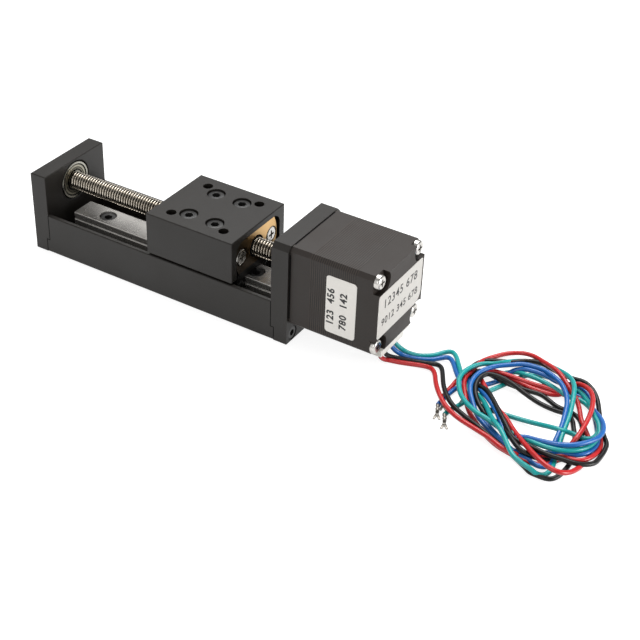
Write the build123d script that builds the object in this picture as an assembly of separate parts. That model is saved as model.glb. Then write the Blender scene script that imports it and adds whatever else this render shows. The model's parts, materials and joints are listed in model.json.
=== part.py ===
from build123d import *
import math
import os

# Motorized linear stage, millimetres.
# X runs along the travel, towards the motor. Y is across. Z is up.
# The origin is under the middle of the stage, on the plane that it stands on.

# Frame of the stage
stage_width = 30.0
plate_gap = 88.5
floor_thickness = 4.8
wall_height = 14.1
wall_thickness = 1.5
edge_break = 0.25
rebate_depth = 1.2
bearing_plate_thickness = 6.0
bearing_plate_height = 28.6
motor_plate_thickness = 6.0
motor_plate_height = 35.3
motor_plate_chamfer = 1.6
screw_axis_height = 21.0

# Mounting holes in the underside, tapped M4
base_hole_spacing_x = 60.0
base_hole_spacing_y = 20.0
base_hole_depth = 3.8
tapped_m4_radius = 1.65

# Fasteners: shank radius, head radius, head height, key width across flats
m25_shank_radius = 1.25
m25_head_radius = 2.25
m25_head_height = 2.4
m25_key = 2.0
m3_shank_radius = 1.5
m3_head_radius = 2.75
m3_head_height = 3.0
m3_key = 2.5
head_clearance = 0.1
shank_clearance = 0.15
thread_clearance = 0.02
plate_screw_spacing = 23.0
plate_screw_height = 2.6
plate_screw_length = 8.0
plate_screw_head_depth = 2.6

# Guide rail, block and balls
rail_width = 9.0
rail_height = 6.5
rail_length = 85.0
rail_start_gap = 2.3
rail_first_hole = 11.0
rail_hole_pitch = 20.0
rail_edge_chamfer = 0.35
rail_head_depth = 3.5
rail_thread_depth = 4.0
ball_radius = 0.8
ball_fit = 0.03
ball_height_on_rail = 4.5
ball_bite = 0.35
ball_count_per_row = 7
ball_spacing = 1.9
guide_height = 10.0
block_width = 20.0
block_length = 18.9
block_ground_gap = 2.2
block_rail_clearance = 0.4
block_screw_spacing_x = 10.0
block_screw_spacing_y = 15.0
block_edge_chamfer = 0.4
end_cap_length = 4.2
end_seal_length = 0.8
end_cap_inset = 0.4
end_cap_round = 1.2
seal_rail_clearance = 0.1
cap_screw_spacing = 15.0
cap_screw_radius = 0.8
cap_screw_head_radius = 1.5
cap_screw_head_height = 0.6
cap_screw_length = 7.0
cap_screw_drop = 5.0

# Table
table_length = 32.8
table_width = stage_width
table_height = 14.6
table_position = 41.2
table_hole_spacing = 20.0
table_hole_depth = 6.4
table_head_depth = 4.2
table_nut_bore_clearance = 0.3
table_thread_depth = 3.2
screw_end_gap = 0.3
pocket_depth = 4.4
pocket_half_width = 12.2
pocket_rise = 6.5
pocket_round = 3.5

# Lead screw and nut
screw_radius = 3.0
screw_fit = 0.06
journal_radius = 2.5
nut_body_radius = 5.0
nut_body_length = 18.0
nut_flange_radius = 11.5
nut_flange_thickness = 3.4
nut_flange_top = 6.3
nut_flange_bottom = 5.6
nut_screw_spacing = 16.6
nut_screw_head_height = 1.6
nut_screw_head_radius = 2.8
nut_head_recess = 1.5
nut_thread_depth = 5.0
nut_face_inset = 0.7

# Ball bearings: bore radius, outer radius, width
end_bearing_size = (2.5, 6.5, 4.0)
front_bearing_size = (3.0, 6.5, 5.0)
rear_bearing_size = (2.5, 6.5, 4.0)
bearing_ball_radius = 0.9
bearing_ball_count = 7
bearing_ball_fit = 0.03
bearing_shield_thickness = 0.25
bearing_seat_fit = 0.01
bearing_seat_chamfer = 0.5
bearing_back_wall = 1.0
bearing_back_relief = 1.0

# Motor
motor_size = 28.0
motor_chamfer = 1.25
front_bell_length = 7.2
core_length = 15.9
rear_bell_length = 7.7
pilot_radius = 11.0
pilot_height = 1.8
pilot_clearance = 0.05
motor_screw_spacing = 23.0
bell_cavity_radius = 11.6
front_cavity_depth = 1.9
rear_cavity_depth = 2.6
screw_passage_clearance = 0.6
rear_recess_radius = 4.0
rear_recess_depth = 2.2
through_head_radius = 2.4
through_head_height = 1.7
through_thread_length = 4.0
mount_screw_length = 6.0
rotor_radius = 7.5
air_gap = 0.12
rotor_teeth = 50
rotor_tooth_depth = 0.45
rotor_section_length = 5.6
rotor_magnet_length = 2.6
rotor_magnet_radius = 6.6
pole_count = 8
pole_width = 3.0
pole_teeth = 5
pole_shoe_thickness = 1.1
pole_tooth_depth = 0.45
yoke_inner_radius = 11.4
winding_yoke_gap = 0.45
winding_thickness = 1.05
winding_overhang = 1.4
washer_thickness = 0.3

# Wire outlet under the rear bell
outlet_width = 13.7
outlet_offset = -3.0
outlet_length = 5.6
outlet_drop = 2.3
outlet_flange_thickness = 0.6
outlet_flange_far = 7.5
outlet_cavity = 1.7
outlet_cavity_length = 2.3
outlet_cavity_depth = 1.3
outlet_pitch = 2.0
outlet_positions = 6
outlet_rear_wall = 0.45

# Wires, coil and crimped ends
wire_radius = 0.75
wire_rest = 0.78
coil_height = 6.0
coil_round = 1.8
terminal_width = 1.7
terminal_height = 1.6
terminal_sheet = 0.25
terminal_grip = 1.6
terminal_neck = 3.2
terminal_arm = 1.9
terminal_spread = 20.0

# Places worked out from the sizes above
stage_length = (
    bearing_plate_thickness + plate_gap + motor_plate_thickness
    + front_bell_length + core_length + rear_bell_length
)
left_face = -stage_length / 2
base_start = left_face + bearing_plate_thickness
base_end = base_start + plate_gap
motor_face = base_end + motor_plate_thickness
core_start = motor_face + front_bell_length
core_end = core_start + core_length
motor_rear = core_end + rear_bell_length
half_width = stage_width / 2
rail_top = floor_thickness + rail_height
rail_start = base_start + rail_start_gap
block_top = floor_thickness + guide_height
block_bottom = floor_thickness + block_ground_gap
table_start = base_start + table_position
table_middle = table_start + table_length / 2
table_end = table_start + table_length
table_top = block_top + table_height
nut_face = table_end - nut_face_inset


def block(x, y, z):
    # A box from three pairs of low and high limits
    size = Box(x[1] - x[0], y[1] - y[0], z[1] - z[0])
    return Pos((x[0] + x[1]) / 2, (y[0] + y[1]) / 2, (z[0] + z[1]) / 2) * size


def rod(radius, x, y=0.0, z=screw_axis_height):
    # A cylinder along X between two limits
    return Pos((x[0] + x[1]) / 2, y, z) * Rot(0, 90, 0) * Cylinder(radius, x[1] - x[0])


def pin(radius, z, x, y):
    # A cylinder along Z between two limits
    return Pos(x, y, (z[0] + z[1]) / 2) * Cylinder(radius, z[1] - z[0])


def cone_rod(low_radius, high_radius, x, y=0.0, z=screw_axis_height):
    # A cone along X, with its radius at each limit
    return Pos((x[0] + x[1]) / 2, y, z) * Rot(0, 90, 0) * Cone(low_radius, high_radius, x[1] - x[0])


def group(shapes):
    return Compound(children=[solid for shape in shapes for solid in shape.solids()])


def save(name, shape):
    os.makedirs("parts", exist_ok=True)
    export_step(shape, f"parts/{name}.step")


def profile_along_x(points, x):
    # A closed outline in Y and Z, extruded between two X limits
    face = make_face(Polyline(*[(0, y, z) for y, z in points], close=True))
    return Pos(x[0], 0, 0) * extrude(face, amount=x[1] - x[0], dir=(1, 0, 0))


def break_edges(shape, edges, size=edge_break):
    return chamfer(edges, length=size)


# Socket head cap screw with its head's top at the origin and its shank down -Z
def cap_screw(shank_radius, length, head_radius, head_height, key):
    head = Pos(0, 0, -head_height / 2) * Cylinder(head_radius, head_height)
    head = chamfer(head.edges().group_by(Axis.Z)[-1], length=head_height * 0.08)
    socket_depth = head_height * 0.55
    socket = extrude(RegularPolygon(key / 2, 6, major_radius=False), amount=-socket_depth)
    shank = Pos(0, 0, -head_height - length / 2) * Cylinder(shank_radius - thread_clearance, length)
    return head + shank - socket


# Pan head screw with a cross recess, head's top at the origin and shank down -Z
def pan_screw(shank_radius, length, head_radius, head_height):
    head = Pos(0, 0, -head_height / 2) * Cylinder(head_radius, head_height)
    head = fillet(head.edges().group_by(Axis.Z)[-1], radius=head_height * 0.45)
    slot = Box(head_radius * 1.05, head_radius * 0.26, head_height * 1.1)
    cross = slot + Rot(0, 0, 90) * slot
    shank = Pos(0, 0, -head_height - length / 2) * Cylinder(shank_radius - thread_clearance, length)
    return head + shank - cross


# A deep-groove ball bearing as separate solids, its low X face at x
def ball_bearing(size, x):
    bore, outer, width = size
    pitch = (bore + outer) / 2
    middle = x + width / 2
    at_middle = Pos(middle, 0, screw_axis_height) * Rot(0, 90, 0)
    track = at_middle * Torus(pitch, bearing_ball_radius + bearing_ball_fit)
    inner_land = pitch - bearing_ball_radius * 0.62
    outer_land = pitch + bearing_ball_radius * 0.62
    span = (x, x + width)
    outer_ring = rod(outer, span) - rod(outer_land, span) - track
    inner_ring = rod(inner_land, span) - rod(bore, span) - track
    balls = []
    for n in range(bearing_ball_count):
        turn = Rot(360 * n / bearing_ball_count, 0, 0)
        spoke = Pos(middle, 0, screw_axis_height) * turn * Pos(0, 0, pitch)
        balls.append(spoke * Sphere(bearing_ball_radius))
    shields = []
    for low in (x + 0.1, x + width - 0.1 - bearing_shield_thickness):
        rim = (low, low + bearing_shield_thickness)
        shields.append(rod(outer_land, rim) - rod(inner_land + 0.1, rim))
    return outer_ring, inner_ring, group(balls), group(shields)


def base_channel():
    floor = block(
        (base_start - rebate_depth, base_end + rebate_depth), (-half_width, half_width), (0, floor_thickness)
    )
    channel = floor
    for side in (-1, 1):
        outer = side * half_width
        inner = side * (half_width - wall_thickness)
        wall = block((base_start, base_end), sorted((outer, inner)), (0, wall_height))
        channel += wall
    top_edges = channel.edges().filter_by(Axis.X).group_by(Axis.Z)[-1]
    channel = chamfer(top_edges, length=edge_break)
    bottom_edges = channel.edges().filter_by(Axis.X).group_by(Axis.Z)[0]
    channel = chamfer(bottom_edges, length=edge_break)
    for x in rail_hole_places():
        channel -= pin(m3_shank_radius, (floor_thickness - rail_thread_depth, floor_thickness), x, 0)
    for x, y in base_hole_places():
        channel -= pin(tapped_m4_radius, (0, base_hole_depth), x, y)
    for end, direction in ((base_start - rebate_depth, 1), (base_end + rebate_depth, -1)):
        reach = end + direction * plate_screw_length
        for y in (-plate_screw_spacing / 2, plate_screw_spacing / 2):
            channel -= rod(m25_shank_radius, sorted((end, reach)), y, plate_screw_height)
    return channel


def base_hole_places():
    middle = (base_start + base_end) / 2
    return [
        (middle + sx * base_hole_spacing_x / 2, sy * base_hole_spacing_y / 2)
        for sx in (-1, 1)
        for sy in (-1, 1)
    ]


def rail_hole_places():
    count = int((rail_length - rail_first_hole - m3_head_radius) // rail_hole_pitch) + 1
    return [rail_start + rail_first_hole + rail_hole_pitch * n for n in range(count)]


def plate_screw_cut(outer_face, direction, y):
    # Counterbore and clearance hole for one base screw, from a plate's outer face
    seat = outer_face + direction * plate_screw_head_depth
    through = outer_face + direction * 2 * motor_plate_thickness
    bore = rod(m25_head_radius + head_clearance, sorted((outer_face, seat)), y, plate_screw_height)
    hole = rod(m25_shank_radius + shank_clearance, sorted((seat, through)), y, plate_screw_height)
    return bore + hole


def bearing_plate():
    plate = block((left_face, base_start), (-half_width, half_width), (0, bearing_plate_height))
    plate -= block(
        (base_start - rebate_depth, base_start), (-half_width, half_width), (0, floor_thickness)
    )
    outline = plate.edges().filter_by(Axis.Y).group_by(Axis.Z)[-1]
    outline += plate.edges().filter_by(Axis.X).group_by(Axis.Z)[-1]
    plate = chamfer(outline, length=edge_break)
    seat_start = base_start - end_bearing_size[2]
    seat_radius = end_bearing_size[1] + bearing_seat_fit
    plate -= rod(seat_radius, (seat_start, base_start))
    mouth = (base_start - bearing_seat_chamfer, base_start)
    plate -= cone_rod(seat_radius, seat_radius + bearing_seat_chamfer, mouth)
    plate -= rod(journal_radius + 1.5, (seat_start - bearing_back_relief, seat_start))
    for y in (-plate_screw_spacing / 2, plate_screw_spacing / 2):
        plate -= plate_screw_cut(left_face, 1, y)
    return plate


def motor_plate():
    plate = block((base_end, motor_face), (-half_width, half_width), (0, motor_plate_height))
    corners = plate.edges().filter_by(Axis.X).group_by(Axis.Z)[-1]
    plate = chamfer(corners, length=motor_plate_chamfer)
    plate -= block(
        (base_end, base_end + rebate_depth), (-half_width, half_width), (0, floor_thickness)
    )
    plate -= rod(pilot_radius + pilot_clearance, (motor_face - pilot_height - 0.1, motor_face))
    plate -= rod(screw_radius + 2 * screw_passage_clearance, (base_end, motor_face))
    for y in (-motor_screw_spacing / 2, motor_screw_spacing / 2):
        for z in (-motor_screw_spacing / 2, motor_screw_spacing / 2):
            height = screw_axis_height + z
            seat = base_end + plate_screw_head_depth
            plate -= rod(m25_head_radius + head_clearance, (base_end, seat), y, height)
            plate -= rod(m25_shank_radius + shank_clearance, (seat, motor_face), y, height)
        plate -= plate_screw_cut(motor_face, -1, y)
    return plate


def base_screws():
    screws = []
    for y in (-plate_screw_spacing / 2, plate_screw_spacing / 2):
        shank = plate_screw_length - 0.5 + bearing_plate_thickness - rebate_depth - plate_screw_head_depth
        sample = cap_screw(m25_shank_radius, shank, m25_head_radius, m25_head_height, m25_key)
        seat = left_face + plate_screw_head_depth
        screws.append(Pos(seat - m25_head_height, y, plate_screw_height) * Rot(0, -90, 0) * sample)
        shank = plate_screw_length - 0.5 + motor_plate_thickness - rebate_depth - plate_screw_head_depth
        sample = cap_screw(m25_shank_radius, shank, m25_head_radius, m25_head_height, m25_key)
        seat = motor_face - plate_screw_head_depth
        screws.append(Pos(seat + m25_head_height, y, plate_screw_height) * Rot(0, 90, 0) * sample)
    return group(screws)


def rail_outline():
    # The half-section is mirrored: top flat, edge chamfer, ball groove, vertical side
    half = rail_width / 2
    groove = ball_radius + ball_fit
    middle = floor_thickness + ball_height_on_rail
    return half, groove, middle


def guide_rail():
    half, groove, middle = rail_outline()
    rail = block((rail_start, rail_start + rail_length), (-half, half), (floor_thickness, rail_top))
    long_edges = rail.edges().filter_by(Axis.X).group_by(Axis.Z)[-1]
    rail = chamfer(long_edges, length=rail_edge_chamfer)
    for side in (-1, 1):
        track = rod(groove, (rail_start, rail_start + rail_length), side * ball_track_y(), middle)
        rail -= track
    for x in rail_hole_places():
        rail -= pin(m3_shank_radius + shank_clearance, (floor_thickness, rail_top), x, 0)
        rail -= pin(m3_head_radius + 2 * head_clearance, (rail_top - rail_head_depth, rail_top), x, 0)
    return rail


def ball_track_y():
    return rail_width / 2 + ball_radius - ball_bite


def rail_screws():
    sample = cap_screw(
        m3_shank_radius, rail_height - rail_head_depth + rail_thread_depth - screw_end_gap,
        m3_head_radius, m3_head_height, m3_key,
    )
    top = rail_top - rail_head_depth + m3_head_height
    return group([Pos(x, 0, top) * sample for x in rail_hole_places()])


def guide_section(clearance):
    # The tunnel that the rail runs through
    half = rail_width / 2 + clearance
    return (-half, half), (0, rail_top + clearance)


def guide_block():
    span = (table_middle - block_length / 2, table_middle + block_length / 2)
    body = block(span, (-block_width / 2, block_width / 2), (block_bottom, block_top))
    edges = body.edges().filter_by(Axis.X)
    body = chamfer(edges, length=block_edge_chamfer)
    tunnel_y, tunnel_z = guide_section(block_rail_clearance)
    body -= block(span, tunnel_y, tunnel_z)
    middle = floor_thickness + ball_height_on_rail
    for side in (-1, 1):
        body -= rod(ball_radius + ball_fit, span, side * ball_track_y(), middle)
    for x, y in table_screw_places():
        body -= pin(m3_shank_radius, (block_top - table_thread_depth, block_top), x, y)
    for end in span:
        inward = sorted((end, end + math.copysign(cap_screw_length, table_middle - end)))
        for side in (-1, 1):
            place = side * cap_screw_spacing / 2
            body -= rod(cap_screw_radius, inward, place, block_top - cap_screw_drop)
    return body


def guide_end_pieces():
    # Plastic return caps, then thin wiper seals, at both ends of the block
    caps, seals, screws = [], [], []
    for direction in (-1, 1):
        face = table_middle + direction * block_length / 2
        cap_end = face + direction * end_cap_length
        seal_end = cap_end + direction * end_seal_length
        width = block_width / 2 - end_cap_inset
        high = block_top - end_cap_inset
        low = block_bottom + end_cap_inset
        cap = block(sorted((face, cap_end)), (-width, width), (low, high))
        cap = chamfer(cap.edges().filter_by(Axis.X).group_by(Axis.Z)[-1], length=end_cap_round)
        tunnel_y, tunnel_z = guide_section(block_rail_clearance)
        cap -= block(sorted((face, cap_end)), tunnel_y, tunnel_z)
        seal = block(sorted((cap_end, seal_end)), (-width + 0.4, width - 0.4), (low + 0.3, high - 0.3))
        seal = chamfer(seal.edges().filter_by(Axis.X).group_by(Axis.Z)[-1], length=end_cap_round)
        tunnel_y, tunnel_z = guide_section(seal_rail_clearance)
        seal -= block(sorted((cap_end, seal_end)), tunnel_y, tunnel_z)
        for side in (-1, 1):
            y = side * cap_screw_spacing / 2
            z = block_top - cap_screw_drop
            hole = rod(cap_screw_radius + 0.1, sorted((face, seal_end)), y, z)
            cap -= hole
            seal -= hole
            shank = end_cap_length + end_seal_length + cap_screw_length - 0.5
            sample = pan_screw(cap_screw_radius, shank, cap_screw_head_radius, cap_screw_head_height)
            head_top = seal_end + direction * cap_screw_head_height
            screws.append(Pos(head_top, y, z) * Rot(0, 90 * direction, 0) * sample)
        caps.append(cap)
        seals.append(seal)
    return group(caps), group(seals), group(screws)


def guide_balls():
    balls = []
    middle = floor_thickness + ball_height_on_rail
    for side in (-1, 1):
        for n in range(ball_count_per_row):
            x = table_middle + (n - (ball_count_per_row - 1) / 2) * ball_spacing
            balls.append(Pos(x, side * ball_track_y(), middle) * Sphere(ball_radius))
    return group(balls)


def table_screw_places():
    return [
        (table_middle + sx * block_screw_spacing_x / 2, sy * block_screw_spacing_y / 2)
        for sx in (-1, 1)
        for sy in (-1, 1)
    ]


def table_hole_places():
    return [
        (table_middle + sx * table_hole_spacing / 2, sy * table_hole_spacing / 2)
        for sx in (-1, 1)
        for sy in (-1, 1)
    ]


def carriage_table():
    table = block((table_start, table_end), (-table_width / 2, table_width / 2), (block_top, table_top))
    table = chamfer(table.edges(), length=edge_break)
    table -= rod(nut_body_radius + table_nut_bore_clearance, (table_start, table_end))
    pocket_start = table_end - pocket_depth
    pocket_top = screw_axis_height + pocket_rise
    pocket = block((pocket_start, table_end), (-pocket_half_width, pocket_half_width), (0, pocket_top))
    pocket = fillet(pocket.edges().filter_by(Axis.X).group_by(Axis.Z)[-1], radius=pocket_round)
    table -= pocket
    for x, y in table_screw_places():
        table -= pin(m3_shank_radius + shank_clearance, (block_top, table_top), x, y)
        table -= pin(m3_head_radius + 3 * head_clearance, (table_top - table_head_depth, table_top), x, y)
    for x, y in table_hole_places():
        table -= pin(tapped_m4_radius, (table_top - table_hole_depth, table_top), x, y)
    for y in (-nut_screw_spacing / 2, nut_screw_spacing / 2):
        tapped = (pocket_start - nut_thread_depth, pocket_start)
        table -= rod(m3_shank_radius, tapped, y, screw_axis_height)
    return table


def table_screws():
    length = table_height - table_head_depth + table_thread_depth - screw_end_gap
    sample = cap_screw(m3_shank_radius, length, m3_head_radius, m3_head_height, m3_key)
    top = table_top - table_head_depth + m3_head_height
    return group([Pos(x, y, top) * sample for x, y in table_screw_places()])


def screw_nut():
    flange_face = nut_face
    flange_back = table_end - pocket_depth
    flange = rod(nut_flange_radius, (flange_back, flange_face))
    keep = block(
        (flange_back, flange_face),
        (-nut_flange_radius, nut_flange_radius),
        (screw_axis_height - nut_flange_bottom, screw_axis_height + nut_flange_top),
    )
    nut = (flange & keep) + rod(nut_body_radius, (flange_back - nut_body_length, flange_back))
    nut = nut - rod(screw_radius + screw_fit, (flange_back - nut_body_length, flange_face))
    for y in (-nut_screw_spacing / 2, nut_screw_spacing / 2):
        nut -= rod(m3_shank_radius + shank_clearance, (flange_back, flange_face), y)
        nut -= rod(nut_screw_head_radius + head_clearance, (flange_face - nut_head_recess, flange_face), y)
    return nut


def nut_screws():
    seat = nut_face - nut_head_recess
    length = seat - (table_end - pocket_depth) + nut_thread_depth - screw_end_gap
    sample = pan_screw(m3_shank_radius, length, nut_screw_head_radius, nut_screw_head_height)
    top = seat + nut_screw_head_height
    places = (-nut_screw_spacing / 2, nut_screw_spacing / 2)
    return group([Pos(top, y, screw_axis_height) * Rot(0, 90, 0) * sample for y in places])


def square_section(x):
    # The motor's square section with its four long corners chamfered
    half = motor_size / 2
    body = block(x, (-half, half), (screw_axis_height - half, screw_axis_height + half))
    return chamfer(body.edges().filter_by(Axis.X), length=motor_chamfer)


def motor_corners():
    half = motor_screw_spacing / 2
    return [(sy * half, screw_axis_height + sz * half) for sy in (-1, 1) for sz in (-1, 1)]


def front_bearing_start():
    return core_start - front_cavity_depth - front_bearing_size[2]


def rear_bearing_start():
    return core_end + rear_cavity_depth


def motor_front_bell():
    bell = square_section((motor_face, core_start))
    bell += rod(pilot_radius, (motor_face - pilot_height, motor_face))
    bell -= rod(bell_cavity_radius, (core_start - front_cavity_depth, core_start))
    seat = (front_bearing_start(), core_start - front_cavity_depth)
    bell -= rod(front_bearing_size[1] + bearing_seat_fit, seat)
    bell -= rod(screw_radius + screw_passage_clearance, (motor_face - pilot_height, core_start))
    for y, z in motor_corners():
        bell -= rod(m25_shank_radius, (motor_face, core_start), y, z)
    return bell


def motor_rear_bell():
    bell = square_section((core_end, motor_rear))
    bell -= rod(bell_cavity_radius, (core_end, core_end + rear_cavity_depth))
    seat_end = rear_bearing_start() + rear_bearing_size[2] + washer_thickness
    bell -= rod(rear_bearing_size[1] + bearing_seat_fit, (core_end, seat_end))
    for y, z in motor_corners():
        bell -= rod(rear_recess_radius, (motor_rear - rear_recess_depth, motor_rear), y, z)
        bell -= rod(m25_shank_radius + shank_clearance, (core_end, motor_rear), y, z)
    return bell


def tooth_outline(teeth, tip_radius, root_radius, first_angle, tooth_share=0.46):
    # Corner points of a toothed ring, one trapezoid a tooth
    points = []
    pitch = 2 * math.pi / teeth
    for n in range(teeth):
        middle = first_angle + n * pitch
        for radius, offset in (
            (root_radius, -tooth_share * 0.62), (tip_radius, -tooth_share / 2),
            (tip_radius, tooth_share / 2), (root_radius, tooth_share * 0.62),
        ):
            angle = middle + offset * pitch
            points.append((radius * math.cos(angle), radius * math.sin(angle)))
    return points


def rotor_section(x, first_angle):
    outline = tooth_outline(rotor_teeth, rotor_radius, rotor_radius - rotor_tooth_depth, first_angle)
    points = [(y, screw_axis_height + z) for y, z in outline]
    section = profile_along_x(points, (x, x + rotor_section_length))
    return section - rod(screw_radius, (x, x + rotor_section_length))


def rotor_start():
    return (core_start + core_end) / 2 - rotor_section_length - rotor_magnet_length / 2


def rotor_magnet():
    start = rotor_start() + rotor_section_length
    span = (start, start + rotor_magnet_length)
    return rod(rotor_magnet_radius, span) - rod(screw_radius, span)


def pole_outline():
    # Half-pole shoe with its small teeth, pointing along +Y, in Y and Z
    tip = rotor_radius + air_gap
    pitch = 2 * math.pi / rotor_teeth
    points = []
    for n in range(pole_teeth):
        middle = (n - (pole_teeth - 1) / 2) * pitch
        for radius, offset in (
            (tip + pole_tooth_depth, -0.29), (tip, -0.23), (tip, 0.23), (tip + pole_tooth_depth, 0.29),
        ):
            angle = middle + offset * pitch
            points.append((radius * math.cos(angle), radius * math.sin(angle)))
    last = (pole_teeth / 2 - 0.1) * pitch
    shoe = tip + pole_shoe_thickness
    points.append((shoe * math.cos(last), shoe * math.sin(last)))
    neck = shoe + 0.3
    points.append((neck, pole_width / 2))
    points.append((yoke_inner_radius + 0.4, pole_width / 2))
    points.append((yoke_inner_radius + 0.4, -pole_width / 2))
    points.append((neck, -pole_width / 2))
    points.append((shoe * math.cos(last), -shoe * math.sin(last)))
    return points


def stator_core():
    core = square_section((core_start, core_end)) - rod(yoke_inner_radius, (core_start, core_end))
    pole = profile_along_x(pole_outline(), (core_start, core_end))
    for n in range(pole_count):
        turn = Rot(360 * n / pole_count, 0, 0)
        core += Pos(0, 0, screw_axis_height) * turn * pole
    for y, z in motor_corners():
        core -= rod(m25_shank_radius + shank_clearance, (core_start, core_end), y, z)
    return core


def stator_windings():
    low = rotor_radius + air_gap + pole_shoe_thickness + 0.45
    high = yoke_inner_radius - winding_yoke_gap
    reach = core_length / 2 + winding_overhang
    width = pole_width / 2 + winding_thickness
    outer = block((-reach, reach), (low, high), (-width, width))
    outer = fillet(outer.edges().filter_by(Axis.Y), radius=winding_thickness)
    inner = block(
        (-core_length / 2 - 0.05, core_length / 2 + 0.05), (low, high), (-pole_width / 2 - 0.05, pole_width / 2 + 0.05)
    )
    coil = outer - inner
    middle = (core_start + core_end) / 2
    places = [Rot(360 * n / pole_count, 0, 0) for n in range(pole_count)]
    return group([Pos(middle, 0, screw_axis_height) * turn * coil for turn in places])


def motor_through_screws():
    head_top = motor_rear - rear_recess_depth + through_head_height
    length = rear_bell_length - rear_recess_depth + core_length + through_thread_length
    sample = pan_screw(m25_shank_radius, length, through_head_radius, through_head_height)
    return group([Pos(head_top, y, z) * Rot(0, 90, 0) * sample for y, z in motor_corners()])


def motor_mount_screws():
    seat = base_end + plate_screw_head_depth
    length = motor_face - seat + front_bell_length - through_thread_length - 0.4
    sample = cap_screw(m25_shank_radius, length, m25_head_radius, m25_head_height, m25_key)
    return group(
        [Pos(seat - m25_head_height, y, z) * Rot(0, -90, 0) * sample for y, z in motor_corners()]
    )


def bearing_washer():
    start = rear_bearing_start() + rear_bearing_size[2]
    span = (start, start + washer_thickness)
    return rod(rear_bearing_size[1] - 0.2, span) - rod(rear_bearing_size[1] - 1.6, span)


def lead_screw():
    # Threaded shaft, turned down to a journal at each end, which is also the rotor's shaft
    seat_start = base_start - end_bearing_size[2]
    shoulder = rear_bearing_start()
    shaft = rod(screw_radius, (base_start, shoulder))
    shaft += rod(journal_radius, (seat_start, base_start))
    shaft += rod(journal_radius, (shoulder, shoulder + rear_bearing_size[2]))
    return shaft


def outlet_cavity_places():
    first = outlet_offset - outlet_pitch * (outlet_positions - 1) / 2
    return [first + outlet_pitch * n for n in range(outlet_positions)]


def wire_outlet_x():
    return motor_rear - outlet_rear_wall - outlet_cavity_length / 2


def wire_connector():
    # A thin flange under the bell, and a housing whose wire cavities open downwards
    half = outlet_width / 2
    high = screw_axis_height - motor_size / 2
    low = high - outlet_drop
    span = (motor_rear - outlet_length, motor_rear)
    flange = block(span, (outlet_offset - half - 0.4, outlet_flange_far), (high - outlet_flange_thickness, high))
    housing = block(span, (outlet_offset - half, outlet_offset + half), (low, high))
    housing = chamfer(housing.edges().filter_by(Axis.Y).group_by(Axis.Z)[0], length=0.25)
    housing = chamfer(housing.edges().filter_by(Axis.Z), length=0.25)
    connector = flange + housing
    for y in outlet_cavity_places():
        x = wire_outlet_x()
        connector -= block(
            (x - outlet_cavity_length / 2, x + outlet_cavity_length / 2),
            (y - outlet_cavity / 2, y + outlet_cavity / 2),
            (low, low + outlet_cavity_depth),
        )
    return connector


def leaving(y):
    # The first points of a wire: down out of its cavity, then over towards the surface
    x = wire_outlet_x()
    top = screw_axis_height - motor_size / 2 - outlet_drop + outlet_cavity_depth
    return [(x - 0.1, y, top), (x + 0.35, y, top - 2.5), (x + 2.3, y + 0.2, top - 4.35)]


def lead_routes():
    # Each wire's free stretch from the outlet to the coil, as it lies
    cavities = outlet_cavity_places()
    crossing = wire_rest + 2 * wire_radius + 0.3
    return {
        "red": leaving(cavities[0]) + [
            (69.8, -6.6, 0.85), (72.9, -4.5, wire_rest), (75.7, -3.1, wire_rest),
            (78.3, -2.6, wire_rest), (80.7, -3.9, 0.9), (82.6, -6.6, 1.5), (84.9, -9.6, 2.2),
            (88.1, -12.8, crossing), (92.0, -15.6, crossing), (96.0, -17.6, crossing),
            (99.9, -18.9, 2.3), (103.4, -19.4, 2.1),
        ],
        "black": leaving(cavities[1]) + [
            (69.8, -4.2, 0.85), (72.8, -1.7, wire_rest), (75.6, 0.0, wire_rest),
            (78.5, 1.2, wire_rest), (81.3, 0.3, 0.9), (83.2, -2.2, 1.4), (85.1, -5.2, 2.0),
            (87.6, -8.6, crossing), (90.9, -11.7, crossing), (94.4, -13.8, crossing),
            (97.6, -15.0, 2.3),
        ],
        "blue": leaving(cavities[3]) + [
            (69.6, -1.1, 0.85), (72.6, 0.4, wire_rest), (75.3, 2.2, wire_rest),
            (77.9, 4.5, wire_rest), (80.7, 5.2, wire_rest), (83.1, 3.6, 1.1),
            (85.3, 1.4, 1.8), (87.8, -0.6, 2.4),
        ],
        "green": leaving(cavities[4]) + [
            (69.4, 1.2, 0.85), (72.1, 2.6, wire_rest), (74.5, 4.8, wire_rest),
            (76.5, 7.4, wire_rest), (79.2, 9.2, wire_rest), (82.0, 8.2, 1.0),
            (84.2, 5.9, 1.6), (86.6, 4.0, 2.2),
        ],
    }


def tail_routes():
    # Each wire's end, from the coil to its crimped terminal
    low = wire_rest
    return {
        "blue": [(90.0, -4.4, 1.2), (87.8, -7.8, low), (87.3, -11.8, low), (88.0, -15.8, low)],
        "red": [(91.8, -6.2, 1.2), (90.2, -8.2, low), (89.7, -10.4, low), (89.9, -12.6, low)],
        "black": [(94.4, -7.9, 1.2), (92.6, -9.8, low), (91.8, -12.0, low), (91.9, -14.2, low)],
        "green": [(96.6, -9.0, 1.2), (94.6, -11.6, low), (93.8, -14.6, low), (93.9, -17.6, low)],
    }


def terminal_tips():
    # The direction that each wire's terminal points in, given by a place ahead of it
    return {"blue": (89.6, -20.2), "red": (90.6, -17.2), "black": (91.8, -18.8), "green": (94.9, -22.2)}


def corner_radii(points):
    # The largest tangent arc at each corner that its two runs allow
    radii = []
    for before, at, after in zip(points, points[1:], points[2:]):
        first = Vector(*at) - Vector(*before)
        second = Vector(*after) - Vector(*at)
        turn = math.radians(first.get_angle(second))
        radii.append(0.45 * min(first.length, second.length) / math.tan(turn / 2))
    return radii


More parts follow.
